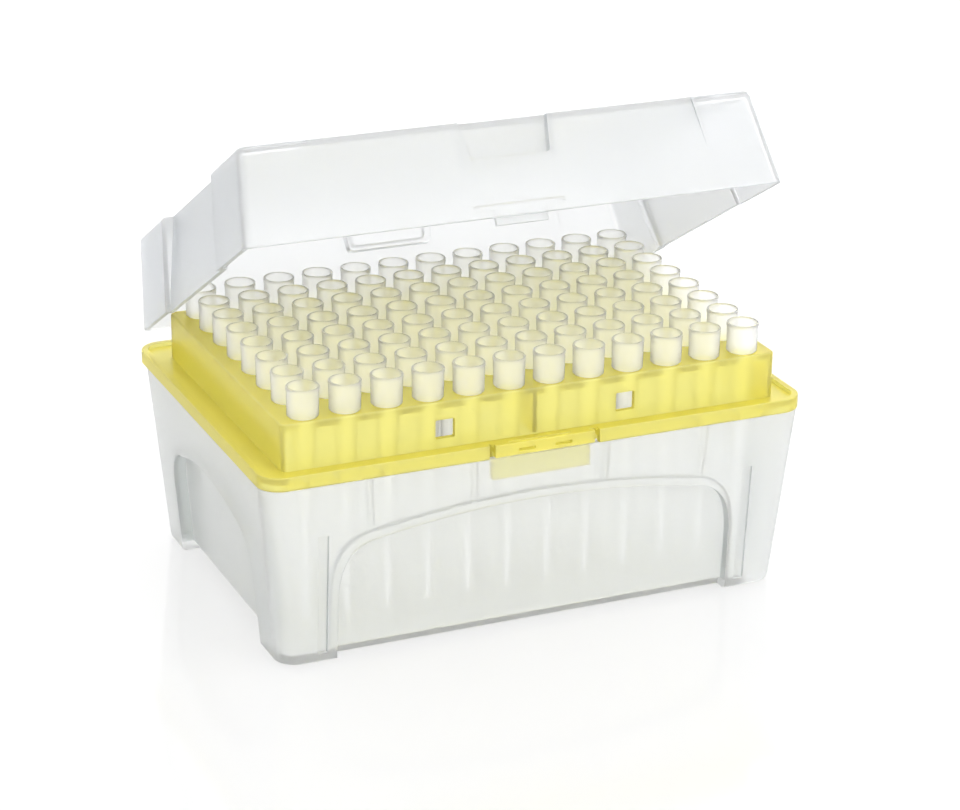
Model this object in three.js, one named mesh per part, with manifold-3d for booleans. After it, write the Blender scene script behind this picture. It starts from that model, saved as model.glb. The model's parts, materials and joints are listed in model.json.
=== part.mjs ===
// A 96-place pipette tip box: a drafted base, a tip tray with a latch bar, a hinged lid and 96 tips.
// Millimetres, +Z up. X runs along the rows of twelve, the latch faces -Y, and the origin is the
// centre of the base's underside.
import * as THREE from "three";
import { mergeVertices } from "three/addons/utils/BufferGeometryUtils.js";
import Module from "manifold-3d";

const wasm = await Module();
wasm.setup();

// ---- driving dimensions ----
const PITCH = 9;
const COLUMNS = 12;
const ROW_LETTERS = "abcdefgh";

const BASE = {
  halfX: 60.8,
  halfY: 39.9,
  corner: 5,
  height: 40.1,
  wall: 1.4,
  floor: 1.8,
  draft: 0.062,
  archDepth: 2,
  sideArchDepth: 3,
  footGap: 2,
};
const FRONT_ARCH = { foot: 47.6, half: 46.4, shoulder: 14, spring: 26, springX: 37.5, crown: 29.5 };
const SIDE_ARCH = { foot: 27, half: 26.2, shoulder: 17, spring: 26, springX: 17, crown: 28.6 };
const POST_GROOVE = { footX: 49.9, topX: 47.9, width: 2.1, top: 28.6, depth: 0.6 };
const LEDGE_RIBS = [-38, -15, 15, 38];

const DECK = { halfX: 55.5, halfY: 35.5, corner: 1.5, top: 52.4, thickness: 1.8, wall: 1.2, foot: 39 };
const FLANGE = {
  halfX: 61,
  front: -40.1,
  rear: 43,
  corner: 5,
  lip: 1.5,
  land: 42.3,
  top: 43.1,
  plate: 1,
  skirt: 1.3,
};
const FLANGE_RIBS = [35.5, 45, 51.5];
const HOLE_RADIUS = 3;
const WINDOW = { x: 20.3, half: 2.15, low: 44.4, high: 48.5 };
const LATCH = {
  gap: 12.4,
  bar: 11.2,
  barLow: 40.4,
  barTop: 43.1,
  front: -40.4,
  back: -39.2,
  pocket: 7,
  pocketBack: -37.2,
};
const LATCH_SLOT = { from: 2.2, to: 6, low: 41.2, high: 41.9 };
const TONGUE = { half: 11, front: -38.05, back: -36.6, low: 34.8, ridge: 37.8, ridgeHeight: 0.7 };
const MID_RIB_HALF = 0.5;

const TIP = {
  end: 7.7,
  rim: 58.7,
  rimRadius: 3.4,
  rimBore: 2.85,
  collarRadius: 3.3,
  neck: 2.75,
  endRadius: 0.55,
  endBore: 0.25,
  sides: 8,
};
const WEB = { z: 46.4, size: 0.8, reach: 2.16 };

const LID = {
  halfX: 59.9,
  halfY: 40.2,
  corner: 2,
  rim: 43.5,
  height: 20.5,
  wall: 1.2,
  draftX: 0.047,
  draftY: 0.018,
  open: THREE.MathUtils.degToRad(30.7),
};
const FINGER_RECESS = { top: 10.6, bottom: 9, low: 12.4, depth: 2.2 };
const LID_WEDGE = { half: 45, low: 8.5, depth: 0.7 };
const SIDE_WEDGE = { half: 20, rimDepth: 0.8, topDepth: 3 };
const LID_LATCH = {
  ledge: 10,
  tab: 5.8,
  drop: 1.5,
  ledgeLow: 1.6,
  ledgeHigh: 2.85,
  front: -38.8,
  back: -37.8,
};
const HINGE = {
  y: 46,
  z: 42.9,
  pin: 1.2,
  bore: 1.6,
  knuckle: 2.5,
  at: 36,
  clipHalf: 1.7,
  lugIn: 2.1,
  lugOut: 3.9,
};

// ---- materials ----
const plastic = (color, roughness, opacity) =>
  new THREE.MeshStandardMaterial({ color, roughness, metalness: 0, opacity, transparent: opacity < 1 });
const FROSTED = plastic(0xd9dcda, 0.45, 0.7);
const LID_CLEAR = plastic(0xd6dadf, 0.35, 0.6);
const YELLOW = plastic(0xf2d81c, 0.35, 0.9);
const TIP_CLEAR = plastic(0xeef1f2, 0.25, 0.6);

// ---- solids ----
// A closed geometry as a solid that can be joined and cut.
function solid(geometry) {
  const bare = geometry.index ? geometry.toNonIndexed() : geometry.clone();
  bare.deleteAttribute("normal");
  bare.deleteAttribute("uv");
  const merged = mergeVertices(bare, 1e-4);
  return new wasm.Manifold(
    new wasm.Mesh({
      numProp: 3,
      vertProperties: merged.attributes.position.array,
      triVerts: new Uint32Array(merged.index.array),
    }),
  );
}

function geometryOf(body) {
  const mesh = body.getMesh();
  const positions = new Float32Array(mesh.numVert * 3);
  for (let i = 0; i < mesh.numVert; i++) {
    const start = i * mesh.numProp;
    positions.set(mesh.vertProperties.subarray(start, start + 3), i * 3);
  }
  const geometry = new THREE.BufferGeometry();
  geometry.setAttribute("position", new THREE.BufferAttribute(positions, 3));
  geometry.setIndex(new THREE.BufferAttribute(mesh.triVerts, 1));
  geometry.computeVertexNormals();
  return geometry;
}

function box(x0, x1, y0, y1, z0, z1) {
  const geometry = new THREE.BoxGeometry(x1 - x0, y1 - y0, z1 - z0);
  geometry.translate((x0 + x1) / 2, (y0 + y1) / 2, (z0 + z1) / 2);
  return solid(geometry);
}

function roundedRectangle(halfX, halfY, radius) {
  const shape = new THREE.Shape();
  const x = halfX - radius;
  const y = halfY - radius;
  shape.absarc(x, y, radius, 0, Math.PI / 2);
  shape.absarc(-x, y, radius, Math.PI / 2, Math.PI);
  shape.absarc(-x, -y, radius, Math.PI, Math.PI * 1.5);
  shape.absarc(x, -y, radius, Math.PI * 1.5, Math.PI * 2);
  shape.closePath();
  return shape;
}

function prism(halfX, halfY, radius, low, high) {
  const options = { depth: high - low, bevelEnabled: false, curveSegments: 5 };
  const geometry = new THREE.ExtrudeGeometry(roundedRectangle(halfX, halfY, radius), options);
  geometry.translate(0, 0, low);
  return solid(geometry);
}

// An outline in (x, z) pushed along Y, and one in (y, z) pushed along X.
function alongY(shape, y0, y1) {
  const options = { depth: y1 - y0, bevelEnabled: false, curveSegments: 6 };
  const geometry = new THREE.ExtrudeGeometry(shape, options);
  geometry.rotateX(Math.PI / 2);
  geometry.translate(0, y1, 0);
  return solid(geometry);
}

function alongX(shape, x0, x1) {
  const options = { depth: x1 - x0, bevelEnabled: false, curveSegments: 6 };
  const geometry = new THREE.ExtrudeGeometry(shape, options);
  geometry.rotateX(Math.PI / 2);
  geometry.rotateZ(Math.PI / 2);
  geometry.translate(x0, 0, 0);
  return solid(geometry);
}

function cylinderAlongX(radius, x0, x1, y, z, sides) {
  const geometry = new THREE.CylinderGeometry(radius, radius, x1 - x0, sides);
  geometry.rotateZ(Math.PI / 2);
  geometry.translate((x0 + x1) / 2, y, z);
  return solid(geometry);
}

const join = (bodies) => bodies.reduce((sum, body) => sum.add(body));
const cut = (body, tools) => tools.reduce((rest, tool) => rest.subtract(tool), body);

// The low and high ends of a stretch on one side of the middle; side is -1 or 1.
const span = (side, near, far) => [side * near, side * far].sort((a, b) => a - b);

// Moves each vertex towards the Z axis by a share that grows with its distance from the rim.
function draft(geometry, rim, height, shareX, shareY) {
  const position = geometry.attributes.position;
  for (let i = 0; i < position.count; i++) {
    const t = (position.getZ(i) - rim) / height;
    position.setX(i, position.getX(i) * (1 - shareX * t));
    position.setY(i, position.getY(i) * (1 - shareY * t));
  }
  return geometry;
}

// ---- base ----
// A flat-topped arch with a soft crown: straight jambs, round shoulders and a slow rise to the middle.
function archShape(arch, grow) {
  const foot = arch.foot + grow;
  const half = arch.half + grow;
  const springX = arch.springX + grow / 2;
  const spring = arch.spring + grow;
  const crown = arch.crown + grow;
  const shape = new THREE.Shape();
  shape.moveTo(-foot, -1);
  shape.lineTo(foot, -1);
  shape.lineTo(half, arch.shoulder);
  shape.quadraticCurveTo(half - 1, spring - 1.2, springX, spring);
  shape.quadraticCurveTo(springX / 2, crown, 0, crown);
  shape.quadraticCurveTo(-springX / 2, crown, -springX, spring);
  shape.quadraticCurveTo(1 - half, spring - 1.2, -half, arch.shoulder);
  shape.closePath();
  return shape;
}

// The arch pockets of all four walls, grown by an amount that is zero for the outer face.
function archPockets(grow) {
  const pockets = [];
  for (const side of [-1, 1]) {
    const y = span(side, BASE.halfY - BASE.archDepth - grow, BASE.halfY + 1);
    const x = span(side, BASE.halfX - BASE.sideArchDepth - grow, BASE.halfX + 1);
    pockets.push(alongY(archShape(FRONT_ARCH, grow), y[0], y[1]));
    pockets.push(alongX(archShape(SIDE_ARCH, grow), x[0], x[1]));
  }
  return pockets;
}

function footGaps() {
  const gaps = [];
  for (const side of [-1, 1]) {
    const y = span(side, BASE.halfY - BASE.archDepth - BASE.wall, BASE.halfY + 1);
    const x = span(side, BASE.halfX - BASE.sideArchDepth - BASE.wall, BASE.halfX + 1);
    gaps.push(box(-FRONT_ARCH.foot, FRONT_ARCH.foot, y[0], y[1], -1, BASE.footGap));
    gaps.push(box(x[0], x[1], -SIDE_ARCH.foot, SIDE_ARCH.foot, -1, BASE.footGap));
  }
  return gaps;
}

// Grooves in the long walls beside the arches. They lean out at the foot, and the draft sets them upright.
function postGrooves() {
  const { footX, topX, width, top, depth } = POST_GROOVE;
  const grooves = [];
  for (const sx of [-1, 1]) {
    const shape = new THREE.Shape();
    shape.moveTo(sx * footX, BASE.footGap);
    shape.lineTo(sx * (footX + width), BASE.footGap);
    shape.lineTo(sx * (topX + width), top);
    shape.lineTo(sx * topX, top);
    shape.closePath();
    for (const sy of [-1, 1]) {
      const y = span(sy, BASE.halfY - depth, BASE.halfY + 1);
      grooves.push(alongY(shape, y[0], y[1]));
    }
  }
  return grooves;
}

// Thin upright ribs on the inside of the long walls, from the ledge over the arch to near the rim.
function ledgeRibs() {
  const outer = BASE.halfY - BASE.wall + 0.2;
  const inner = BASE.halfY - BASE.archDepth - BASE.wall + 0.5;
  return LEDGE_RIBS.flatMap((x) =>
    [-1, 1].map((side) => {
      const y = span(side, inner, outer);
      return box(x - 0.5, x + 0.5, y[0], y[1], FRONT_ARCH.shoulder, BASE.height - 0.6);
    }),
  );
}

function baseGeometry() {
  const outer = prism(BASE.halfX, BASE.halfY, BASE.corner, 0, BASE.height);
  const cavity = prism(
    BASE.halfX - BASE.wall,
    BASE.halfY - BASE.wall,
    BASE.corner - BASE.wall,
    BASE.floor,
    BASE.height + 1,
  );
  const hollow = cut(cavity, archPockets(BASE.wall));
  const ribbed = join([outer.subtract(hollow), ...ledgeRibs()]);
  const body = cut(ribbed, [...archPockets(0), ...footGaps(), ...postGrooves()]);
  return draft(geometryOf(body), BASE.height, -BASE.height, BASE.draft, BASE.draft);
}

// ---- tray ----
const rowY = (row) => ((ROW_LETTERS.length - 1) / 2 - row) * PITCH;
const columnX = (column) => (column - (COLUMNS - 1) / 2) * PITCH;

function tipHoles() {
  const drill = new THREE.CylinderGeometry(HOLE_RADIUS, HOLE_RADIUS, 4, TIP.sides);
  drill.rotateX(Math.PI / 2);
  drill.rotateZ(Math.PI / TIP.sides);
  const one = solid(drill);
  const holes = [];
  for (let row = 0; row < ROW_LETTERS.length; row++) {
    for (let column = 0; column < COLUMNS; column++) {
      holes.push(one.translate([columnX(column), rowY(row), DECK.top - DECK.thickness / 2]));
    }
  }
  return holes;
}

// The flange's outline shrunk by an inset; it reaches further back than forward, to carry the hinge.
function flangePrism(inset, low, high) {
  const halfY = (FLANGE.rear - FLANGE.front) / 2 - inset;
  const body = prism(FLANGE.halfX - inset, halfY, FLANGE.corner - inset, low, high);
  return body.translate([0, (FLANGE.rear + FLANGE.front) / 2, 0]);
}

function flange() {
  const low = BASE.height;
  const plateLow = FLANGE.land - FLANGE.plate;
  const ring = cut(flangePrism(0, low, FLANGE.top), [
    flangePrism(FLANGE.lip, FLANGE.land, FLANGE.top + 1),
    flangePrism(FLANGE.skirt, low - 1, plateLow),
    box(-LATCH.gap, LATCH.gap, FLANGE.front - 1, LATCH.pocketBack, low - 1, FLANGE.top + 1),
  ]);
  const ribs = FLANGE_RIBS.flatMap((x) =>
    [x, -x].flatMap((at) => [
      box(at - 0.5, at + 0.5, FLANGE.front + 0.5, -DECK.halfY + 0.5, low + 0.1, plateLow + 0.3),
      box(at - 0.5, at + 0.5, DECK.halfY - 0.5, FLANGE.rear - 0.5, low + 0.1, plateLow + 0.3),
    ]),
  );
  return join([ring, ...ribs]);
}

// The bar the lid's tab drops behind, its carrier plate and the locating tongue inside the base.
function latchBar() {
  const plateLow = FLANGE.land - FLANGE.plate;
  const bar = box(-LATCH.bar, LATCH.bar, LATCH.front, LATCH.back, LATCH.barLow, LATCH.barTop);
  const carrier = box(-LATCH.bar, LATCH.bar, LATCH.back - 0.2, -DECK.halfY + 0.5, plateLow, FLANGE.land);
  const pocket = box(-LATCH.pocket, LATCH.pocket, LATCH.back, LATCH.pocketBack, plateLow - 1, FLANGE.top);
  const tongue = box(-TONGUE.half, TONGUE.half, TONGUE.front, TONGUE.back, TONGUE.low, plateLow + 0.2);
  const ridgeTop = TONGUE.ridge + TONGUE.ridgeHeight;
  const ridgeY = [TONGUE.front - 0.2, TONGUE.front + 0.2];
  const ridge = box(-TONGUE.half, TONGUE.half, ridgeY[0], ridgeY[1], TONGUE.ridge, ridgeTop);
  const slots = [-1, 1].map((side) => {
    const x = span(side, LATCH_SLOT.from, LATCH_SLOT.to);
    return box(x[0], x[1], LATCH.front - 1, LATCH.back + 0.1, LATCH_SLOT.low, LATCH_SLOT.high);
  });
  return cut(join([cut(join([bar, carrier]), [pocket, ...slots]), tongue, ridge]), [
    box(-LATCH.pocket, LATCH.pocket, LATCH.back, LATCH.pocketBack, plateLow, FLANGE.top),
  ]);
}

// Two lugs and a pin at each end of the rear edge.
function hingeLugs() {
  const pieces = [];
  for (const at of [-HINGE.at, HINGE.at]) {
    for (const side of [-1, 1]) {
      const x = span(side, HINGE.lugIn, HINGE.lugOut).map((offset) => at + offset);
      pieces.push(box(x[0], x[1], FLANGE.rear - 1, HINGE.y, HINGE.z - 2, FLANGE.top));
      pieces.push(cylinderAlongX(HINGE.knuckle - 0.4, x[0], x[1], HINGE.y, HINGE.z, 12));
    }
    const reach = HINGE.lugIn + 0.5;
    pieces.push(cylinderAlongX(HINGE.pin, at - reach, at + reach, HINGE.y, HINGE.z, 10));
  }
  return join(pieces);
}

function frontWindows() {
  return [-WINDOW.x, WINDOW.x].map((x) =>
    box(
      x - WINDOW.half,
      x + WINDOW.half,
      -DECK.halfY - 1,
      -DECK.halfY + DECK.wall + 1,
      WINDOW.low,
      WINDOW.high,
    ),
  );
}

function trayGeometry() {
  const block = prism(DECK.halfX, DECK.halfY, DECK.corner, DECK.foot, DECK.top);
  const room = prism(
    DECK.halfX - DECK.wall,
    DECK.halfY - DECK.wall,
    DECK.corner - DECK.wall,
    DECK.foot - 1,
    DECK.top - DECK.thickness,
  );
  const ribEnd = DECK.halfY - 0.3;
  const rib = box(-MID_RIB_HALF, MID_RIB_HALF, -ribEnd, ribEnd, FLANGE.land, DECK.top - 0.5);
  const shell = join([cut(join([block, flange()]), [room]), rib, hingeLugs(), latchBar()]);
  return geometryOf(cut(shell, [...frontWindows(), ...tipHoles()]));
}

// ---- lid, built closed ----
function fingerRecess(side, grow) {
  const { top, bottom, low, depth } = FINGER_RECESS;
  const high = LID.rim + LID.height + 1;
  const shape = new THREE.Shape();
  shape.moveTo(-bottom - grow, LID.rim + low - grow);
  shape.lineTo(bottom + grow, LID.rim + low - grow);
  shape.lineTo(top + grow, high);
  shape.lineTo(-top - grow, high);
  shape.closePath();
  const y = span(side, LID.halfY - depth - grow, LID.halfY + 1);
  return alongY(shape, y[0], y[1]);
}

// A shallow wedge off the middle of a long wall: nothing at its foot, deepest at the lid's top edge.
function wallWedge(side, grow) {
  const low = LID.rim + LID_WEDGE.low;
  const high = LID.rim + LID.height + 1;
  const face = LID.halfY - grow;
  const shape = new THREE.Shape();
  shape.moveTo(side * face, low);
  shape.lineTo(side * (LID.halfY + 1), low);
  shape.lineTo(side * (LID.halfY + 1), high);
  shape.lineTo(side * (face - LID_WEDGE.depth), high);
  shape.closePath();
  return alongX(shape, -LID_WEDGE.half - grow, LID_WEDGE.half + grow);
}

// A wedge off the middle of a short wall, shallow at the rim and deepest at the lid's top edge.
function sideWedge(side, grow) {
  const low = LID.rim - 1;
  const high = LID.rim + LID.height + 1;
  const face = LID.halfX - grow;
  const shape = new THREE.Shape();
  shape.moveTo(side * (face - SIDE_WEDGE.rimDepth), low);
  shape.lineTo(side * (LID.halfX + 1), low);
  shape.lineTo(side * (LID.halfX + 1), high);
  shape.lineTo(side * (face - SIDE_WEDGE.topDepth), high);
  shape.closePath();
  return alongY(shape, -SIDE_WEDGE.half - grow, SIDE_WEDGE.half + grow);
}

const lidCuts = (grow) => [-1, 1].flatMap((side) => [
  fingerRecess(side, grow),
  wallWedge(side, grow),
  sideWedge(side, grow),
]);

function lidLatch() {
  const wall = LID.wall - LID.halfY;
  const { ledge, tab, drop, ledgeLow, ledgeHigh, front, back } = LID_LATCH;
  return join([
    box(-ledge, ledge, wall - 0.2, back, LID.rim + ledgeLow, LID.rim + ledgeHigh),
    box(-tab, tab, wall - 0.2, back, LID.rim, LID.rim + ledgeHigh),
    box(-tab, tab, front, back, LID.rim - drop, LID.rim + ledgeHigh),
  ]);
}

// A snap clip: an arm off the rear wall and a ring that is open at the bottom, round the hinge pin.
function hingeClip(at) {
  const x0 = at - HINGE.clipHalf;
  const x1 = at + HINGE.clipHalf;
  const ring = cylinderAlongX(HINGE.knuckle, x0, x1, HINGE.y, HINGE.z, 16);
  const arm = box(x0, x1, LID.halfY - LID.wall + 0.2, HINGE.y, LID.rim + 0.3, HINGE.z + HINGE.knuckle);
  const mouth = box(x0 - 1, x1 + 1, HINGE.y - 0.9, HINGE.y + 0.9, HINGE.z - HINGE.knuckle - 1, HINGE.z);
  return cut(join([ring, arm]), [cylinderAlongX(HINGE.bore, x0 - 1, x1 + 1, HINGE.y, HINGE.z, 16), mouth]);
}

function lidGeometry() {
  const high = LID.rim + LID.height;
  const outer = prism(LID.halfX, LID.halfY, LID.corner, LID.rim, high);
  const room = prism(
    LID.halfX - LID.wall,
    LID.halfY - LID.wall,
    LID.corner - LID.wall,
    LID.rim - 1,
    high - LID.wall,
  );
  const shell = cut(outer, lidCuts(0)).subtract(cut(room, lidCuts(LID.wall)));
  const drafted = draft(geometryOf(join([shell, lidLatch()])), LID.rim, LID.height, LID.draftX, LID.draftY);
  return geometryOf(join([solid(drafted), hingeClip(-HINGE.at), hingeClip(HINGE.at)]));
}

// ---- tips ----
function tipSolid() {
  const profile = [
    [TIP.endBore, TIP.end],
    [TIP.endRadius, TIP.end],
    [TIP.neck, DECK.top],
    [TIP.collarRadius, DECK.top],
    [TIP.rimRadius, TIP.rim],
    [TIP.rimBore, TIP.rim],
    [TIP.endBore, TIP.end],
  ].map(([radius, z]) => new THREE.Vector2(radius, z));
  const geometry = new THREE.LatheGeometry(profile, TIP.sides);
  geometry.rotateX(Math.PI / 2);
  geometry.rotateZ(Math.PI / TIP.sides);
  return solid(geometry);
}

// Two neighbours of a row, held as one body by a thin web under the deck.
function tipPair(tip) {
  const half = WEB.size / 2;
  const web = box(WEB.reach, PITCH - WEB.reach, -half, half, WEB.z - half, WEB.z + half);
  return join([tip, tip.translate([PITCH, 0, 0]), web]);
}

// ---- assembly ----
const tipBox = new THREE.Group();

function place(parent, name, geometry, material, x = 0, y = 0, z = 0) {
  const mesh = new THREE.Mesh(geometry, material);
  mesh.name = name;
  mesh.position.set(x, y, z);
  parent.add(mesh);
}

function placeTips(parent) {
  const tip = tipSolid();
  const single = geometryOf(tip);
  const pair = geometryOf(tipPair(tip));
  const last = ROW_LETTERS.length - 1;
  const number = (column) => String(column + 1).padStart(2, "0");
  for (let row = 0; row < last; row++) {
    const letter = ROW_LETTERS[row];
    for (let column = 0; column < COLUMNS; column += 2) {
      const name = `tips_${letter}${number(column)}_${letter}${number(column + 1)}`;
      place(parent, name, pair, TIP_CLEAR, columnX(column), rowY(row));
    }
  }
  for (let column = 0; column < COLUMNS; column++) {
    const name = `tip_${ROW_LETTERS[last]}${number(column)}`;
    place(parent, name, single, TIP_CLEAR, columnX(column), rowY(last));
  }
}

place(tipBox, "base", baseGeometry(), FROSTED);
place(tipBox, "tip_tray", trayGeometry(), YELLOW);
placeTips(tipBox);

const lidPivot = new THREE.Group();
lidPivot.position.set(0, HINGE.y, HINGE.z);
lidPivot.rotation.x = -LID.open;
place(lidPivot, "lid", lidGeometry(), LID_CLEAR, 0, -HINGE.y, -HINGE.z);
tipBox.add(lidPivot);

export default tipBox;
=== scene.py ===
"""A 96-place pipette tip box: frosted base, yellow tip tray, open clear lid and 96 loose tips.

Lengths are in millimetres until a mesh is made; meshes are in metres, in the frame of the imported
CAD. X runs along the rows of twelve, the latch faces -Y and Z is up.
"""

import json
import math
from functools import partial

import bmesh
import bpy
from mathutils import Matrix, Vector

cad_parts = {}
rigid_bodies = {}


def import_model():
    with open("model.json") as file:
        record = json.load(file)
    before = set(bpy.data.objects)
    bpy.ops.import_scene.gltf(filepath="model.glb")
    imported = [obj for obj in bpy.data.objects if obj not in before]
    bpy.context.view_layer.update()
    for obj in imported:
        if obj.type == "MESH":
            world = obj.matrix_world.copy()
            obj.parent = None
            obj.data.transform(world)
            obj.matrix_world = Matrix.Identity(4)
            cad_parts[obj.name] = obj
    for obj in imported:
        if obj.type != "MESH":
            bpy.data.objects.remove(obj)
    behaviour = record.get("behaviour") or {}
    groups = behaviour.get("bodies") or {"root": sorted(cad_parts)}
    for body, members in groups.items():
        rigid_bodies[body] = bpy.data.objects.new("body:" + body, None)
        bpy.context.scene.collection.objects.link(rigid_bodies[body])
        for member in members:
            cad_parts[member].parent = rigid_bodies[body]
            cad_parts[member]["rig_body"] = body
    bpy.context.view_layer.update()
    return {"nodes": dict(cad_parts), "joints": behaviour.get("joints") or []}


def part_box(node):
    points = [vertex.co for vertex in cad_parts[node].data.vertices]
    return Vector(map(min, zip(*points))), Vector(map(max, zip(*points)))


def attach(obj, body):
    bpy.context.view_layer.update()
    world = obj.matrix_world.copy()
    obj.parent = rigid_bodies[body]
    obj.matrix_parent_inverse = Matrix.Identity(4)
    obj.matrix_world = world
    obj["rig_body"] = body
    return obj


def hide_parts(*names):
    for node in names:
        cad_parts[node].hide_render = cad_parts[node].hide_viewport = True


MM = 0.001

# ---- driving dimensions, mm ----
BASE_CORNER = 5.0
BASE_WALL = 1.4
BASE_FLOOR = 1.8
BASE_DRAFT = 0.062
FRONT_ARCH_DEPTH = 2.0
SIDE_ARCH_DEPTH = 3.0
FOOT_GAP = 2.0
FRONT_ARCH = dict(foot=47.6, half=46.4, shoulder=14.0, spring=26.0, spring_x=37.5, crown=29.5)
SIDE_ARCH = dict(foot=27.0, half=26.2, shoulder=17.0, spring=26.0, spring_x=17.0, crown=28.6)
POST_GROOVE = dict(foot_x=49.9, top_x=47.9, width=2.1, top=28.6, depth=0.6)
LEDGE_RIBS = (-38.0, -15.0, 15.0, 38.0)
LEDGE_RIB_HALF = 0.6
# Where the faces that turn into the arches and grooves lie, and how far their normals have turned; these
# faces get painted shade.
JAMB = dict(
    front_x=52.0,
    flank_y=29.0,
    front_reach=3.6,
    flank_reach=4.6,
    skin=0.05,
    low=2.1,
    high=31.5,
    turn=0.8,
)

DECK = dict(half_x=55.5, half_y=35.5, corner=1.5, thickness=1.8, wall=1.2, foot=39.0)
FLANGE = dict(half_x=61.0, front=-40.1, rear=43.0, corner=5.0)
FLANGE_LIP = 1.5
FLANGE_LAND = 42.3
FLANGE_TOP = 43.1
FLANGE_PLATE = 1.0
FLANGE_SKIRT = 1.3
FLANGE_RIBS = (35.5, 45.0, 51.5)
HOLE_RADIUS = 3.0
WINDOW = dict(x=20.3, half=2.15, low=44.4, high=48.5)
LATCH_GAP = 12.4
LATCH_BAR = dict(half=11.2, low=40.4, top=43.1, front=-40.4, back=-39.2)
LATCH_POCKET = dict(half=7.0, back=-37.2)
LATCH_SLOT = dict(start=2.2, end=6.0, low=41.2, high=41.9)
TONGUE = dict(half=11.0, front=-38.05, back=-36.6, low=34.8, ridge=37.8, ridge_height=0.7)
MID_RIB_HALF = 0.5

LID = dict(half_x=59.9, half_y=40.2, corner=2.0, rim=43.5, height=20.5, wall=1.2)
LID_DRAFT_X = 0.047
LID_DRAFT_Y = 0.018
LID_OPEN = math.radians(30.7)
SIDE_WEDGE = dict(half=20.0, rim_depth=0.8, top_depth=3.0)
FINGER_RECESS = dict(top=10.6, bottom=9.0, low=12.4, depth=2.2)
LID_STEP = dict(half=45.0, low=8.5, depth=0.7)
LID_LATCH = dict(ledge=10.0, tab=5.8, drop=1.5, low=1.6, high=2.85, front=-38.8, back=-37.8)
HINGE = dict(pin=1.2, bore=1.6, knuckle=2.5, at=36.0, clip_half=1.7, lug_in=2.1, lug_out=3.9)

BORE_STEPS = 36
TIP_STEPS = 40
ARCH_STEPS = 14

QUARTER = tuple(math.radians(a) for a in (0, 22.5, 45, 67.5, 90))

# ---- looks ----
# light and deep are the two ends of the plastic's faint cloudiness; edge is painted shade for faces
# seen at a slant, standing partly for light crossing more plastic there and partly for the darker
# surroundings such faces refract, and slant says how far a face must turn away for that. Nodes take metres.
FROSTED = dict(
    light=(0.99, 1.0, 1.0, 1),
    deep=(0.985, 0.995, 0.995, 1),
    edge=(0.88, 0.905, 0.9, 1),
    roughness=0.34,
    through=0.84,
    clear_after=4.5,
    slant=(0.6, 0.95),
)
LID_CLEAR = dict(
    light=(0.95, 0.955, 0.965, 1),
    deep=(0.94, 0.95, 0.96, 1),
    edge=(0.82, 0.85, 0.89, 1),
    roughness=0.34,
    through=0.84,
)
YELLOW = dict(
    light=(0.995, 0.945, 0.34, 1),
    deep=(0.99, 0.93, 0.28, 1),
    edge=(0.985, 0.86, 0.06, 1),
    roughness=0.34,
    through=0.76,
    clear_after=3.5,
)
TIP_CLEAR = dict(
    light=(1.0, 1.0, 0.995, 1),
    deep=(0.995, 0.995, 0.99, 1),
    edge=(0.95, 0.955, 0.95, 1),
    roughness=0.34,
    through=0.92,
    clear_after=5.5,
    glow=0.02,
)
# Painted shade for the arch and groove jambs, standing for the dark lines that thick plastic seen edge-on
# and refracted darker surroundings make there.
JAMB_PAINTED_SHADE = (0.7, 0.73, 0.73, 1)
CLOUD_SCALE = 60
GRAIN_SCALE = 3000
GRAIN_HEIGHT = 0.0001
GRAIN_STRENGTH = 0.02

# ---- studio ----
# Lamps, flags and the floor are in metres and watts. The camera's angles are in degrees, its
# target, lens and sensor in mm, and its distance in metres.
FLOOR_HALF = 6.0
FLOOR_DROP = 0.0002
FLOOR_GLOW = 0.62
FLAG_SHADE = (0.85, 0.87, 0.88, 1)
SKY_SHADE = (1.65, 1.65, 1.65, 1)
FLAG_FROM, FLAG_TO = -0.95, -0.3
KEY_LIGHT = dict(place=(0.5, -0.5, 1.1), target=(0, 0, 0.04), size=(1.0, 1.0), power=4.0)
CAMERA = dict(
    azimuth=-23.926,
    elevation=21.724,
    roll=0.745,
    target=(2.57, -1.14, 35.5),
    distance=0.64155,
    lens=111.05,
    sensor=36.0,
)


# ---- mesh building ----
def add_object(name, mesh):
    made = bpy.data.objects.new(name, mesh)
    bpy.context.scene.collection.objects.link(made)
    return made


def mesh_from(bm, name):
    bmesh.ops.recalc_face_normals(bm, faces=bm.faces)
    mesh = bpy.data.meshes.new(name)
    bm.to_mesh(mesh)
    bm.free()
    return mesh


def ring_of_verts(bm, points):
    return [bm.verts.new(Vector(point) * MM) for point in points]


def skin(bm, rows):
    """Faces between each ring of vertices and the next."""
    count = len(rows[0])
    for low, high in zip(rows, rows[1:]):
        for i in range(count):
            j = (i + 1) % count
            bm.faces.new((low[i], low[j], high[j], high[i]))


def loft(name, rings):
    """A closed solid through rings of equally many points, with flat ends. Points are in mm."""
    bm = bmesh.new()
    rows = [ring_of_verts(bm, ring) for ring in rings]
    skin(bm, rows)
    bm.faces.new(rows[0])
    bm.faces.new(rows[-1])
    return add_object(name, mesh_from(bm, name))


def circle(radius, steps):
    """Points of a circle round the origin."""
    turns = [2 * math.pi * i / steps for i in range(steps)]
    return [(radius * math.cos(turn), radius * math.sin(turn)) for turn in turns]


def rounded_ring(half_x, half_y, corner, z, steps=10):
    corner = max(corner, 0.05)
    ring = []
    for k, (sx, sy) in enumerate(((1, 1), (-1, 1), (-1, -1), (1, -1))):
        for i in range(steps + 1):
            angle = math.pi / 2 * (k + i / steps)
            x = sx * (half_x - corner) + corner * math.cos(angle)
            y = sy * (half_y - corner) + corner * math.sin(angle)
            ring.append((x, y, z))
    return ring


def round_low(z, radius):
    """(height, inset) pairs of a rounded lower edge."""
    return [(z + radius * (1 - math.cos(t)), radius * (1 - math.sin(t))) for t in QUARTER]


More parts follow.
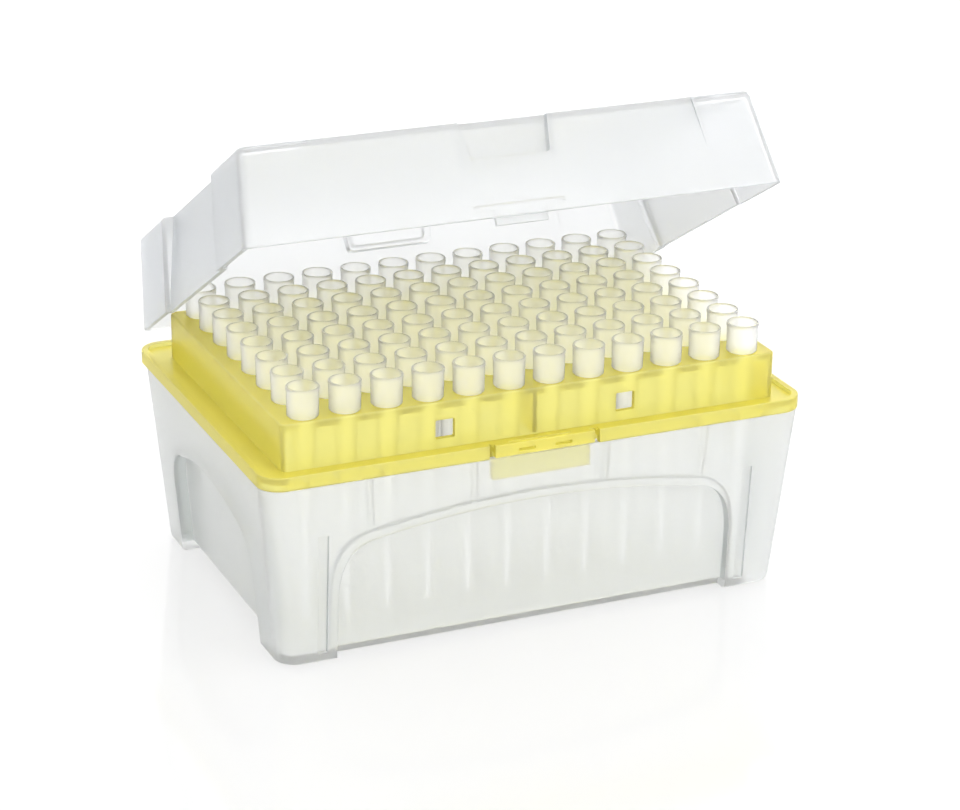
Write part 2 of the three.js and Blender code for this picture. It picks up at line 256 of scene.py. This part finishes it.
def round_high(z, radius):
    """(height, inset) pairs of a rounded upper edge."""
    return [(z - radius * (1 - math.cos(t)), radius * (1 - math.sin(t))) for t in reversed(QUARTER)]


def flare_high(z, radius, beyond=1.0):
    """A cutter's upper end that leaves a rounded edge where it comes out at height z."""
    turned = [(z - radius + radius * math.sin(t), -radius * (1 - math.cos(t))) for t in QUARTER]
    return turned + [(z + beyond, -radius)]


def flare_low(z, radius, beyond=1.0):
    """A cutter's lower end that leaves a rounded edge where it comes out at height z."""
    turned = [(z + radius - radius * math.sin(t), -radius * (1 - math.cos(t))) for t in QUARTER]
    return [(z - beyond, -radius)] + turned[::-1]


def prism(name, half_x, half_y, corner, profile):
    """A rounded-rectangle solid through (height, inset) pairs."""
    return loft(name, [rounded_ring(half_x - s, half_y - s, corner - s, z) for z, s in profile])


def block(name, x, y, z, radius=0.2):
    """A box between the (low, high) pairs x, y and z, with its edges rounded."""
    bm = bmesh.new()
    bmesh.ops.create_cube(bm, size=1.0)
    size = Vector((x[1] - x[0], y[1] - y[0], z[1] - z[0]))
    centre = Vector((x[1] + x[0], y[1] + y[0], z[1] + z[0])) / 2
    bmesh.ops.scale(bm, vec=size * MM, verts=bm.verts)
    bmesh.ops.translate(bm, vec=centre * MM, verts=bm.verts)
    if radius:
        limit = min(radius, min(size) * 0.45) * MM
        bmesh.ops.bevel(bm, geom=bm.edges[:], offset=limit, segments=3, profile=0.5, affect="EDGES")
    return add_object(name, mesh_from(bm, name))


def tube(name, radius, x, y, z, steps=40):
    """A round bar along X with softened ends."""
    soft = 0.15
    low, high = x
    ends = ((low, radius - soft), (low + soft, radius), (high - soft, radius), (high, radius - soft))
    return loft(name, [[(at, y + u, z + v) for u, v in circle(r, steps)] for at, r in ends])


def combine(target, tool, operation):
    """Joins a closed solid to another or cuts it away, and throws the tool away."""
    modifier = target.modifiers.new("combine", "BOOLEAN")
    modifier.operation = operation
    modifier.solver = "MANIFOLD"
    modifier.object = tool
    graph = bpy.context.evaluated_depsgraph_get()
    mesh = bpy.data.meshes.new_from_object(target.evaluated_get(graph))
    target.modifiers.clear()
    old = target.data
    target.data = mesh
    bpy.data.meshes.remove(old)
    discard(tool)
    return target


def discard(tool):
    mesh = tool.data
    bpy.data.objects.remove(tool)
    if mesh.users == 0:
        bpy.data.meshes.remove(mesh)


def join(target, *tools):
    for tool in tools:
        combine(target, tool, "UNION")
    return target


def cut(target, *tools):
    for tool in tools:
        combine(target, tool, "DIFFERENCE")
    return target


def taper(obj, rim, height, share_x, share_y):
    """Draws each vertex towards the Z axis by a share that grows with its distance from rim."""
    for vertex in obj.data.vertices:
        t = (vertex.co.z / MM - rim) / height
        vertex.co.x *= 1 - share_x * t
        vertex.co.y *= 1 - share_y * t


def span(side, near, far):
    """The low and high ends of a stretch on one side of the middle; side is -1 or 1."""
    return tuple(sorted((side * near, side * far)))


def polish(obj, angle=32):
    """Smooth shading with crisp creases; broad flat faces keep their own normals."""
    bm = bmesh.new()
    bm.from_mesh(obj.data)
    bmesh.ops.remove_doubles(bm, verts=bm.verts, dist=0.002 * MM)
    bm.to_mesh(obj.data)
    bm.free()
    obj.data.shade_smooth()
    obj.data.set_sharp_from_angle(angle=math.radians(angle))
    weighted = obj.modifiers.new("weighted", "WEIGHTED_NORMAL")
    weighted.keep_sharp = True
    weighted.weight = 100
    return obj


def pocket_profile(depth, edge, floor):
    """(depth, growth) pairs of a pocket with a rounded mouth and a rounded floor corner."""
    mouth = [(edge * (1 - math.cos(t)), edge * (1 - math.sin(t))) for t in QUARTER]
    bottom = [(depth - floor + floor * math.sin(t), -floor * (1 - math.cos(t))) for t in QUARTER]
    return [(-1.0, edge)] + mouth + bottom


def wall_pocket(name, outline, axis, side, face, depth, edge=0.35, floor=0.3, grow=0.0):
    """A cutter for a pocket in the wall at side * face. outline(growth) gives (across, up) pairs."""
    rings = []
    for inward, growth in pocket_profile(depth + grow, edge, floor):
        at = side * (face - inward)
        ring = outline(growth + grow)
        rings.append([(u, at, v) if axis == "y" else (at, u, v) for u, v in ring])
    return loft(name, rings)


def quadratic(start, control, end, steps):
    """Points of a quadratic curve, without its start."""
    points = []
    for i in range(1, steps + 1):
        t = i / steps
        w0, w1, w2 = (1 - t) ** 2, 2 * t * (1 - t), t * t
        points.append(tuple(w0 * a + w1 * b + w2 * c for a, b, c in zip(start, control, end)))
    return points


# ---- base ----
def arch_outline(arch, growth):
    """A flat-topped arch with straight jambs, round shoulders and a slow rise to the middle."""
    foot = arch["foot"] + growth
    half = arch["half"] + growth
    spring_x = arch["spring_x"] + growth / 2
    spring = arch["spring"] + growth
    crown = arch["crown"] + growth
    right = [(foot, -1.0), (half, arch["shoulder"])]
    right += quadratic((half, arch["shoulder"]), (half - 1, spring - 1.2), (spring_x, spring), ARCH_STEPS)
    right += quadratic((spring_x, spring), (spring_x / 2, crown), (0, crown), ARCH_STEPS)
    left = [(-u, v) for u, v in reversed(right[:-1])]
    return right + left


def arch_pockets(half_x, half_y, grow):
    """The arch pockets of all four walls, grown by an amount that is zero for the outer face."""
    front = partial(arch_outline, FRONT_ARCH)
    flank = partial(arch_outline, SIDE_ARCH)
    pockets = []
    for side in (-1, 1):
        pockets.append(wall_pocket("arch", front, "y", side, half_y, FRONT_ARCH_DEPTH, grow=grow))
        pockets.append(wall_pocket("arch", flank, "x", side, half_x, SIDE_ARCH_DEPTH, grow=grow))
    return pockets


def groove_outline(end, growth):
    """A groove beside an arch, leaning out at its foot so that the draft leaves it upright."""
    low = FOOT_GAP - growth
    high = POST_GROOVE["top"] + growth
    foot, top = POST_GROOVE["foot_x"] - growth, POST_GROOVE["top_x"] - growth
    width = POST_GROOVE["width"] + 2 * growth
    return [(end * x, z) for x, z in ((foot, low), (foot + width, low), (top + width, high), (top, high))]


def foot_gaps(half_x, half_y):
    """Cutters that lift the foot of every arch panel off the bench."""
    z = (-1, FOOT_GAP)
    front, flank = FRONT_ARCH["foot"], SIDE_ARCH["foot"]
    gaps = []
    for side in (-1, 1):
        y = span(side, half_y - FRONT_ARCH_DEPTH - BASE_WALL, half_y + 1)
        x = span(side, half_x - SIDE_ARCH_DEPTH - BASE_WALL, half_x + 1)
        gaps.append(block("gap", (-front, front), y, z, 0))
        gaps.append(block("gap", x, (-flank, flank), z, 0))
    return gaps


def mark_jambs(obj, half_x, half_y, height):
    """Marks the faces that turn into the arches and grooves, where light crosses the most plastic, for
    painted shade that stands for the dark lines seen there.
    """
    marks = obj.data.attributes.new("jamb", "FLOAT", "FACE")
    for face, mark in zip(obj.data.polygons, marks.data):
        centre = face.center / MM
        shrink = 1 - BASE_DRAFT * (height - centre.z) / height
        x, y = abs(centre.x) / shrink, abs(centre.y) / shrink
        in_front = x < JAMB["front_x"] and half_y - JAMB["front_reach"] < y < half_y - JAMB["skin"]
        in_flank = y < JAMB["flank_y"] and half_x - JAMB["flank_reach"] < x < half_x - JAMB["skin"]
        across = face.normal.y if in_front else face.normal.x
        level = JAMB["low"] < centre.z < JAMB["high"]
        mark.value = float(level and (in_front or in_flank) and abs(across) < JAMB["turn"])


def ledge_ribs(half_y, height):
    """Thin upright ribs on the inside of the long walls, over the arch."""
    z = (FRONT_ARCH["shoulder"], height - 0.6)
    ribs = []
    for x in LEDGE_RIBS:
        for side in (-1, 1):
            y = span(side, half_y - FRONT_ARCH_DEPTH - BASE_WALL + 0.5, half_y - BASE_WALL + 0.2)
            ribs.append(block("rib", (x - LEDGE_RIB_HALF, x + LEDGE_RIB_HALF), y, z, 0.15))
    return ribs


def post_grooves(half_y):
    depth = POST_GROOVE["depth"]
    grooves = []
    for side in (-1, 1):
        for end in (-1, 1):
            outline = partial(groove_outline, end)
            grooves.append(wall_pocket("groove", outline, "y", side, half_y, depth, edge=0.2, floor=0.2))
    return grooves


def base_piece(half_x, half_y, height):
    shell = prism("base_shell", half_x, half_y, BASE_CORNER, round_low(0, 0.8) + round_high(height, 0.35))
    hollow = prism(
        "hollow",
        half_x - BASE_WALL,
        half_y - BASE_WALL,
        BASE_CORNER - BASE_WALL,
        round_low(BASE_FLOOR, 0.8) + flare_high(height, 0.3),
    )
    cut(hollow, *arch_pockets(half_x, half_y, BASE_WALL))
    cut(shell, hollow)
    join(shell, *ledge_ribs(half_y, height))
    cut(shell, *arch_pockets(half_x, half_y, 0))
    cut(shell, *foot_gaps(half_x, half_y))
    cut(shell, *post_grooves(half_y))
    taper(shell, height, -height, BASE_DRAFT, BASE_DRAFT)
    polish(shell)
    mark_jambs(shell, half_x, half_y, height)
    return shell


# ---- tray ----
def hole_drill(centres, z):
    """All the tip holes as one cutter, each with a softened upper edge."""
    bm = bmesh.new()
    wide = HOLE_RADIUS + 0.2
    profile = ((z - DECK["thickness"] - 1, HOLE_RADIUS), (z - 0.2, HOLE_RADIUS), (z, wide), (z + 1, wide))
    for cx, cy in centres:
        rows = []
        for height, radius in profile:
            ring = [(cx + u, cy + v, height) for u, v in circle(radius, BORE_STEPS)]
            rows.append(ring_of_verts(bm, ring))
        skin(bm, rows)
        bm.faces.new(rows[0])
        bm.faces.new(rows[-1])
    return add_object("drill", mesh_from(bm, "drill"))


def flange_prism(name, inset, profile):
    """The flange's outline shrunk by inset; it reaches further back than forward."""
    front, rear = FLANGE["front"], FLANGE["rear"]
    half_y = (rear - front) / 2 - inset
    made = prism(name, FLANGE["half_x"] - inset, half_y, FLANGE["corner"] - inset, profile)
    made.data.transform(Matrix.Translation((0, (rear + front) / 2 * MM, 0)))
    return made


def flange_piece(low):
    plate_low = FLANGE_LAND - FLANGE_PLATE
    ring = flange_prism("ring", 0, round_low(low, 0.25) + round_high(FLANGE_TOP, 0.25))
    land = flange_prism("land", FLANGE_LIP, round_low(FLANGE_LAND, 0.15) + flare_high(FLANGE_TOP, 0.15))
    under = flange_prism("under", FLANGE_SKIRT, flare_low(low, 0.15) + round_high(plate_low, 0.2))
    gap_y = (FLANGE["front"] - 1, LATCH_POCKET["back"])
    gap = block("gap", (-LATCH_GAP, LATCH_GAP), gap_y, (low - 1, FLANGE_TOP + 1), 0)
    cut(ring, land, under, gap)
    rib_z = (low + 0.1, plate_low + 0.3)
    front_y = (FLANGE["front"] + 0.5, 0.5 - DECK["half_y"])
    rear_y = (DECK["half_y"] - 0.5, FLANGE["rear"] - 0.5)
    for at in FLANGE_RIBS:
        for x in (-at, at):
            rib_x = (x - 0.5, x + 0.5)
            join(ring, block("rib", rib_x, front_y, rib_z, 0.12))
            join(ring, block("rib", rib_x, rear_y, rib_z, 0.12))
    return ring


def latch_bar():
    """The bar the lid's tab drops behind, its carrier plate and the locating tongue inside the base."""
    plate_low = FLANGE_LAND - FLANGE_PLATE
    half, front, back = LATCH_BAR["half"], LATCH_BAR["front"], LATCH_BAR["back"]
    bar = block("bar", (-half, half), (front, back), (LATCH_BAR["low"], LATCH_BAR["top"]), 0.2)
    carrier_y = (back - 0.2, 0.5 - DECK["half_y"])
    carrier = block("carrier", (-half, half), carrier_y, (plate_low, FLANGE_LAND), 0.1)
    wide = LATCH_POCKET["half"]
    pocket = block("pocket", (-wide, wide), (back, LATCH_POCKET["back"]), (plate_low - 1, FLANGE_TOP), 0)
    join(bar, carrier)
    cut(bar, pocket)
    for side in (-1, 1):
        x = span(side, LATCH_SLOT["start"], LATCH_SLOT["end"])
        z = (LATCH_SLOT["low"], LATCH_SLOT["high"])
        cut(bar, block("slot", x, (front - 1, back + 0.1), z, 0.2))
    tongue_x = (-TONGUE["half"], TONGUE["half"])
    tongue_y = (TONGUE["front"], TONGUE["back"])
    tongue = block("tongue", tongue_x, tongue_y, (TONGUE["low"], plate_low + 0.2), 0.2)
    ridge_y = (TONGUE["front"] - 0.25, TONGUE["front"] + 0.3)
    ridge_z = (TONGUE["ridge"], TONGUE["ridge"] + TONGUE["ridge_height"])
    join(tongue, block("ridge", tongue_x, ridge_y, ridge_z, 0.12))
    relief = block("relief", (-wide, wide), (back, LATCH_POCKET["back"]), (plate_low, FLANGE_TOP), 0)
    cut(tongue, relief)
    return join(bar, tongue)


def hinge_lugs(target, pivot_y, pivot_z):
    """Two lugs and a pin at each end of the rear edge."""
    for at in (-HINGE["at"], HINGE["at"]):
        for side in (-1, 1):
            x = tuple(at + offset for offset in span(side, HINGE["lug_in"], HINGE["lug_out"]))
            join(target, block("lug", x, (FLANGE["rear"] - 1, pivot_y), (pivot_z - 2, FLANGE_TOP), 0.1))
            join(target, tube("boss", HINGE["knuckle"] - 0.4, x, pivot_y, pivot_z))
        reach = HINGE["lug_in"] + 0.5
        join(target, tube("pin", HINGE["pin"], (at - reach, at + reach), pivot_y, pivot_z))
    return target


def tray_piece(low, top, centres, pivot):
    shell = prism(
        "tray_shell",
        DECK["half_x"],
        DECK["half_y"],
        DECK["corner"],
        round_low(DECK["foot"], 0.15) + round_high(top, 0.45),
    )
    join(shell, flange_piece(low))
    room = prism(
        "room",
        DECK["half_x"] - DECK["wall"],
        DECK["half_y"] - DECK["wall"],
        DECK["corner"] - DECK["wall"],
        [(DECK["foot"] - 1, 0)] + round_high(top - DECK["thickness"], 0.4),
    )
    cut(shell, room)
    rib_y = (0.3 - DECK["half_y"], DECK["half_y"] - 0.3)
    rib = block("rib", (-MID_RIB_HALF, MID_RIB_HALF), rib_y, (FLANGE_LAND, top - 0.5), 0.1)
    join(shell, rib, latch_bar())
    hinge_lugs(shell, *pivot)
    for side in (-1, 1):
        x = (side * WINDOW["x"] - WINDOW["half"], side * WINDOW["x"] + WINDOW["half"])
        y = (-DECK["half_y"] - 1, -DECK["half_y"] + DECK["wall"] + 1)
        cut(shell, block("window", x, y, (WINDOW["low"], WINDOW["high"]), 0.3))
    cut(shell, hole_drill(centres, top))
    return polish(shell)


# ---- lid, built closed and then turned open about its hinge ----
def finger_outline(growth):
    low = LID["rim"] + FINGER_RECESS["low"] - growth
    high = LID["rim"] + LID["height"] + 1
    bottom = FINGER_RECESS["bottom"] + growth
    top = FINGER_RECESS["top"] + growth
    soft = 1.0
    right = quadratic((bottom - soft, low), (bottom, low), (bottom + soft * 0.16, low + soft), 5)
    right = [(bottom - soft, low)] + right + [(top, high)]
    return right + [(-u, v) for u, v in reversed(right)]


def side_wedge(side, grow):
    """A wedge off the middle of a short wall, shallow at the rim and deepest at the lid's top edge."""
    low = LID["rim"] - 1
    high = LID["rim"] + LID["height"] + 1
    face = LID["half_x"] - grow
    outline = [
        (side * (face - SIDE_WEDGE["rim_depth"]), low),
        (side * (LID["half_x"] + 1), low),
        (side * (LID["half_x"] + 1), high),
        (side * (face - SIDE_WEDGE["top_depth"]), high),
    ]
    half = SIDE_WEDGE["half"] + grow
    return loft("wedge", [[(x, y, z) for x, z in outline] for y in (-half, half)])


def wall_step(side, grow):
    """A shallow wedge off a long wall: nothing at its foot, deepest at the lid's top edge."""
    low = LID["rim"] + LID_STEP["low"]
    high = LID["rim"] + LID["height"] + 1
    face = LID["half_y"] - grow
    outline = [
        (side * face, low),
        (side * (LID["half_y"] + 1), low),
        (side * (LID["half_y"] + 1), high),
        (side * (face - LID_STEP["depth"]), high),
    ]
    half = LID_STEP["half"] + grow
    return loft("step", [[(x, y, z) for y, z in outline] for x in (-half, half)])


def lid_cuts(grow):
    face, depth = LID["half_y"], FINGER_RECESS["depth"]
    cutters = []
    for side in (-1, 1):
        cutters.append(wall_pocket("finger", finger_outline, "y", side, face, depth, grow=grow))
        cutters.append(side_wedge(side, grow))
        cutters.append(wall_step(side, grow))
    return cutters


def lid_latch():
    """The ledge inside the front rim and the tab that drops behind the tray's latch bar."""
    wall = LID["wall"] - LID["half_y"] - 0.2
    rim, back, front = LID["rim"], LID_LATCH["back"], LID_LATCH["front"]
    ledge, tab = LID_LATCH["ledge"], LID_LATCH["tab"]
    high = rim + LID_LATCH["high"]
    shelf = block("shelf", (-ledge, ledge), (wall, back), (rim + LID_LATCH["low"], high), 0.2)
    web = block("web", (-tab, tab), (wall, back), (rim, high), 0.1)
    hook = block("hook", (-tab, tab), (front, back), (rim - LID_LATCH["drop"], high), 0.2)
    return join(shelf, web, hook)


def hinge_clip(at, pivot_y, pivot_z):
    """A snap clip: an arm off the rear wall and a ring, open at the bottom, round the hinge pin."""
    x = (at - HINGE["clip_half"], at + HINGE["clip_half"])
    wide = (x[0] - 1, x[1] + 1)
    ring = tube("clip", HINGE["knuckle"], x, pivot_y, pivot_z)
    arm_y = (LID["half_y"] - LID["wall"] + 0.2, pivot_y)
    join(ring, block("arm", x, arm_y, (LID["rim"] + 0.3, pivot_z + HINGE["knuckle"]), 0.15))
    mouth_z = (pivot_z - HINGE["knuckle"] - 1, pivot_z)
    mouth = block("mouth", wide, (pivot_y - 0.9, pivot_y + 0.9), mouth_z, 0)
    return cut(ring, tube("bore", HINGE["bore"], wide, pivot_y, pivot_z), mouth)


def lid_piece(pivot):
    rim, wall = LID["rim"], LID["wall"]
    high = rim + LID["height"]
    profile = round_low(rim, 0.3) + round_high(high, 1.0)
    shell = prism("lid_shell", LID["half_x"], LID["half_y"], LID["corner"], profile)
    cut(shell, *lid_cuts(0))
    room = prism(
        "room",
        LID["half_x"] - wall,
        LID["half_y"] - wall,
        LID["corner"] - wall,
        flare_low(rim, 0.2) + round_high(high - wall, 0.8),
    )
    cut(room, *lid_cuts(wall))
    cut(shell, room)
    join(shell, lid_latch())
    taper(shell, rim, LID["height"], LID_DRAFT_X, LID_DRAFT_Y)
    join(shell, hinge_clip(-HINGE["at"], *pivot), hinge_clip(HINGE["at"], *pivot))
    centre = Matrix.Translation(Vector((0, pivot[0], pivot[1])) * MM)
    shell.data.transform(centre @ Matrix.Rotation(-LID_OPEN, 4, "X") @ centre.inverted())
    return polish(shell)


# ---- tips ----
def tip_mesh(rim, seat, end):
    """A 200 microlitre tip round the Z axis, from its point at height end to its rim."""
    length = seat - end
    profile = [
        (0.28, end),
        (0.5, end),
        (0.56, end + 0.3),
        (1.25, end + 0.42 * length),
        (1.9, end + 0.7 * length),
        (2.5, end + 0.92 * length),
        (2.7, seat - 0.4),
        (2.75, seat + 0.06),
        (3.16, seat + 0.06),
        (3.26, seat + 0.16),
        (3.32, rim - 1.1),
        (3.36, rim - 0.9),
        (3.4, rim - 0.7),
        (3.4, rim - 0.15),
        (3.33, rim - 0.02),
        (3.22, rim),
        (3.08, rim - 0.04),
        (2.98, rim - 0.2),
        (2.86, rim - 1.0),
        (2.7, seat + 2.0),
        (2.3, seat - 1.5),
        (1.95, end + 0.86 * length),
        (1.3, end + 0.6 * length),
        (0.8, end + 0.36 * length),
        (0.34, end + 1.0),
    ]
    bm = bmesh.new()
    rows = [ring_of_verts(bm, [(u, v, z) for u, v in circle(radius, TIP_STEPS)]) for radius, z in profile]
    skin(bm, rows + rows[:1])
    mesh = mesh_from(bm, "tip")
    mesh.shade_smooth()
    mesh.set_sharp_from_angle(angle=math.radians(50))
    return mesh


# ---- materials ----
def node(tree, kind, inputs=None, **settings):
    """A node with its settings and inputs; an input may be a value or another node's output."""
    made = tree.nodes.new(kind)
    for key, value in settings.items():
        setattr(made, key, value)
    for key, value in (inputs or {}).items():
        if isinstance(value, bpy.types.NodeSocket):
            tree.links.new(value, made.inputs[key])
        else:
            made.inputs[key].default_value = value
    return made


def new_material(name):
    material = bpy.data.materials.new(name)
    material.use_nodes = True
    material.node_tree.nodes.clear()
    return material, material.node_tree


def colour(hex_code):
    """A linear colour from an sRGB hex code."""
    values = []
    for i in (0, 2, 4):
        c = int(hex_code[i : i + 2], 16) / 255
        values.append(c / 12.92 if c <= 0.04045 else ((c + 0.055) / 1.055) ** 2.4)
    return (*values, 1.0)


def grain(tree, scale, detail):
    """Noise in the piece's own coordinates, between 0 and 1."""
    where = node(tree, "ShaderNodeTexCoord").outputs["Object"]
    settings = {"Vector": where, "Scale": scale, "Detail": detail}
    return node(tree, "ShaderNodeTexNoise", settings).outputs["Fac"]


def remap(tree, value, low, high):
    made = node(tree, "ShaderNodeMapRange", {"Value": value, "To Min": low, "To Max": high})
    return made.outputs["Result"]


def mix_colour(tree, factor, first, second):
    made = node(tree, "ShaderNodeMix", {0: factor, 6: first, 7: second}, data_type="RGBA")
    return made.outputs[2]


def moulded_plastic(
    name, light, deep, edge, roughness, through, clear_after=None, slant=(0.25, 0.8), glow=0.0
):
    """Clear moulded plastic with a faint cloudiness and a fine surface grain.

    Seen along its surface the plastic takes the edge colour, a painted shade that stands partly for
    light crossing more plastic there and partly for the darker surroundings such faces refract; slant
    says how steeply it must turn away for that. With clear_after, light that has passed so many walls
    goes straight on, which keeps a crowd of thin walls from swallowing it. A little glow stands for
    the light that milky plastic hands on from wall to wall.
    """
    material, tree = new_material(name)
    cloud = grain(tree, CLOUD_SCALE, 4.0)
    fine = grain(tree, GRAIN_SCALE, 2.0)
    # Painted shade: faces turned away from the view are mixed towards the edge colour.
    facing = node(tree, "ShaderNodeLayerWeight", {"Blend": 0.5}).outputs["Facing"]
    turned = node(tree, "ShaderNodeMapRange", {"Value": facing, "From Min": slant[0], "From Max": slant[1]})
    tone_and_painted_shade = mix_colour(tree, turned.outputs["Result"], mix_colour(tree, cloud, light, deep), edge)
    # Painted shade on the marked jambs.
    jamb = node(tree, "ShaderNodeAttribute", attribute_name="jamb").outputs["Fac"]
    tone_and_painted_shade = mix_colour(tree, jamb, tone_and_painted_shade, JAMB_PAINTED_SHADE)
    relief = {"Height": fine, "Strength": GRAIN_STRENGTH, "Distance": GRAIN_HEIGHT}
    bump = node(tree, "ShaderNodeBump", relief).outputs["Normal"]
    surface = node(
        tree,
        "ShaderNodeBsdfPrincipled",
        {
            "Base Color": tone_and_painted_shade,
            "Roughness": remap(tree, fine, roughness * 0.85, roughness * 1.15),
            "IOR": 1.45,
            "Transmission Weight": through,
            "Emission Color": light,
            "Emission Strength": glow,
            "Normal": bump,
        },
    ).outputs[0]
    if clear_after is not None:
        depth = node(tree, "ShaderNodeLightPath").outputs["Transmission Depth"]
        past = node(tree, "ShaderNodeMath", {0: depth, 1: clear_after}, operation="GREATER_THAN").outputs[0]
        pale = tuple(0.6 + 0.4 * channel for channel in light)
        straight = node(tree, "ShaderNodeBsdfTransparent", {"Color": pale}).outputs[0]
        surface = node(tree, "ShaderNodeMixShader", {0: past, 1: surface, 2: straight}).outputs[0]
    node(tree, "ShaderNodeOutputMaterial", {"Surface": surface})
    return material


def floor_material():
    """A white sweep that glows a little, with a faint polish."""
    material, tree = new_material("studio_floor")
    fine = grain(tree, 12, 3.0)
    tone = mix_colour(tree, fine, colour("808080"), colour("7d7d7d"))
    surface = node(
        tree,
        "ShaderNodeBsdfPrincipled",
        {
            "Base Color": tone,
            "Roughness": 0.1,
            "IOR": 1.4,
            "Emission Color": (1, 1, 1, 1),
            "Emission Strength": FLOOR_GLOW,
        },
    ).outputs[0]
    node(tree, "ShaderNodeOutputMaterial", {"Surface": surface})
    return material


# ---- studio ----
def studio_world():
    """White all round for the camera; for the object, a flag on the left leaves soft dark edges."""
    world = bpy.data.worlds.new("studio")
    bpy.context.scene.world = world
    world.use_nodes = True
    tree = world.node_tree
    tree.nodes.clear()
    where = node(tree, "ShaderNodeTexCoord").outputs["Generated"]
    parts = node(tree, "ShaderNodeSeparateXYZ", {"Vector": where})
    spread = {"Value": parts.outputs["X"], "From Min": FLAG_FROM, "From Max": FLAG_TO}
    left = node(tree, "ShaderNodeMapRange", spread)
    shade = mix_colour(tree, left.outputs["Result"], FLAG_SHADE, SKY_SHADE)
    seen = node(tree, "ShaderNodeLightPath").outputs["Is Camera Ray"]
    shown = mix_colour(tree, seen, shade, (1, 1, 1, 1))
    sky = node(tree, "ShaderNodeBackground", {"Color": shown, "Strength": 1.0}).outputs[0]
    node(tree, "ShaderNodeOutputWorld", {"Surface": sky})


def area_light(name, place, target, size, power):
    lamp = bpy.data.lights.new(name, "AREA")
    lamp.shape = "RECTANGLE"
    lamp.size, lamp.size_y = size
    lamp.energy = power
    made = add_object(name, lamp)
    made.location = place
    made.rotation_mode = "QUATERNION"
    made.rotation_quaternion = (Vector(target) - Vector(place)).to_track_quat("-Z", "Y")


def studio_camera():
    azimuth, elevation, roll = (math.radians(CAMERA[a]) for a in ("azimuth", "elevation", "roll"))
    level = math.cos(elevation)
    back = Vector((math.sin(azimuth) * level, -math.cos(azimuth) * level, math.sin(elevation)))
    target = Vector(CAMERA["target"]) * MM
    data = bpy.data.cameras.new("camera")
    data.lens = CAMERA["lens"]
    data.sensor_width = CAMERA["sensor"]
    data.clip_start, data.clip_end = 0.05, 20.0
    made = add_object("camera", data)
    made.rotation_mode = "QUATERNION"
    facing = (-back).to_track_quat("-Z", "Y")
    made.rotation_quaternion = facing @ Matrix.Rotation(roll, 3, "Z").to_quaternion()
    made.location = target + back * CAMERA["distance"]
    bpy.context.scene.camera = made


def studio_floor():
    bm = bmesh.new()
    bmesh.ops.create_grid(bm, x_segments=4, y_segments=4, size=FLOOR_HALF)
    floor = add_object("studio_floor", mesh_from(bm, "studio_floor"))
    floor.location.z = -FLOOR_DROP
    floor.data.materials.append(floor_material())


# ---- assembly ----
def show(piece, body, cad_node):
    """Ties a piece to the body it rides and hides the CAD node it stands for."""
    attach(piece, body)
    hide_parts(cad_node)


def dress(piece, material):
    piece.data.materials.clear()
    piece.data.materials.append(material)


def tip_places():
    """Each tip's name with its CAD node, body and centre, read from the nodes' boxes at rest."""
    places = []
    for name in sorted(frame["nodes"]):
        body = frame["nodes"][name]["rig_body"]
        if not name.startswith("tip") or name == "tip_tray":
            continue
        low, high = (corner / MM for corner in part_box(name))
        half = (high.y - low.y) / 2
        y = (low.y + high.y) / 2
        if name.startswith("tips_"):
            _, first, second = name.split("_")
            places.append(("tip_" + first, name, body, low.x + half, y))
            places.append(("tip_" + second, name, body, high.x - half, y))
        else:
            places.append((name, name, body, (low.x + high.x) / 2, y))
    return places


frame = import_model()

base_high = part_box("base")[1] / MM
tray_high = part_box("tip_tray")[1] / MM
tip_low, tip_high = (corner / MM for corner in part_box("tip_h01"))
hinge = next(joint for joint in frame["joints"] if joint["name"] == "lid_hinge")
pivot = (hinge["pos_m"][1] / MM, hinge["pos_m"][2] / MM)

places = tip_places()
centres = [(x, y) for _, _, _, x, y in places]

frosted = moulded_plastic("base_frosted", **FROSTED)
lid_clear = moulded_plastic("lid_clear", **LID_CLEAR)
yellow = moulded_plastic("tray_yellow", **YELLOW)
tip_clear = moulded_plastic("tip_polypropylene", **TIP_CLEAR)

base = base_piece(base_high.x, base_high.y, base_high.z)
dress(base, frosted)
show(base, "base", "base")
tray = tray_piece(base_high.z, tray_high.z, centres, pivot)
dress(tray, yellow)
show(tray, "tray", "tip_tray")
lid = lid_piece(pivot)
dress(lid, lid_clear)
show(lid, "lid", "lid")

tip_shape = tip_mesh(tip_high.z, tray_high.z, tip_low.z)
tip_shape.materials.append(tip_clear)
for name, cad_node, body, x, y in places:
    tip = add_object(name + "_moulded", tip_shape)
    tip.location = Vector((x, y, 0)) * MM
    show(tip, body, cad_node)

studio_world()
area_light("key", **KEY_LIGHT)
studio_floor()
studio_camera()

scene = bpy.context.scene
scene.view_settings.view_transform = "Standard"
scene.cycles.max_bounces = 24
scene.cycles.transmission_bounces = 24
scene.cycles.transparent_max_bounces = 64
scene.cycles.use_denoising = True
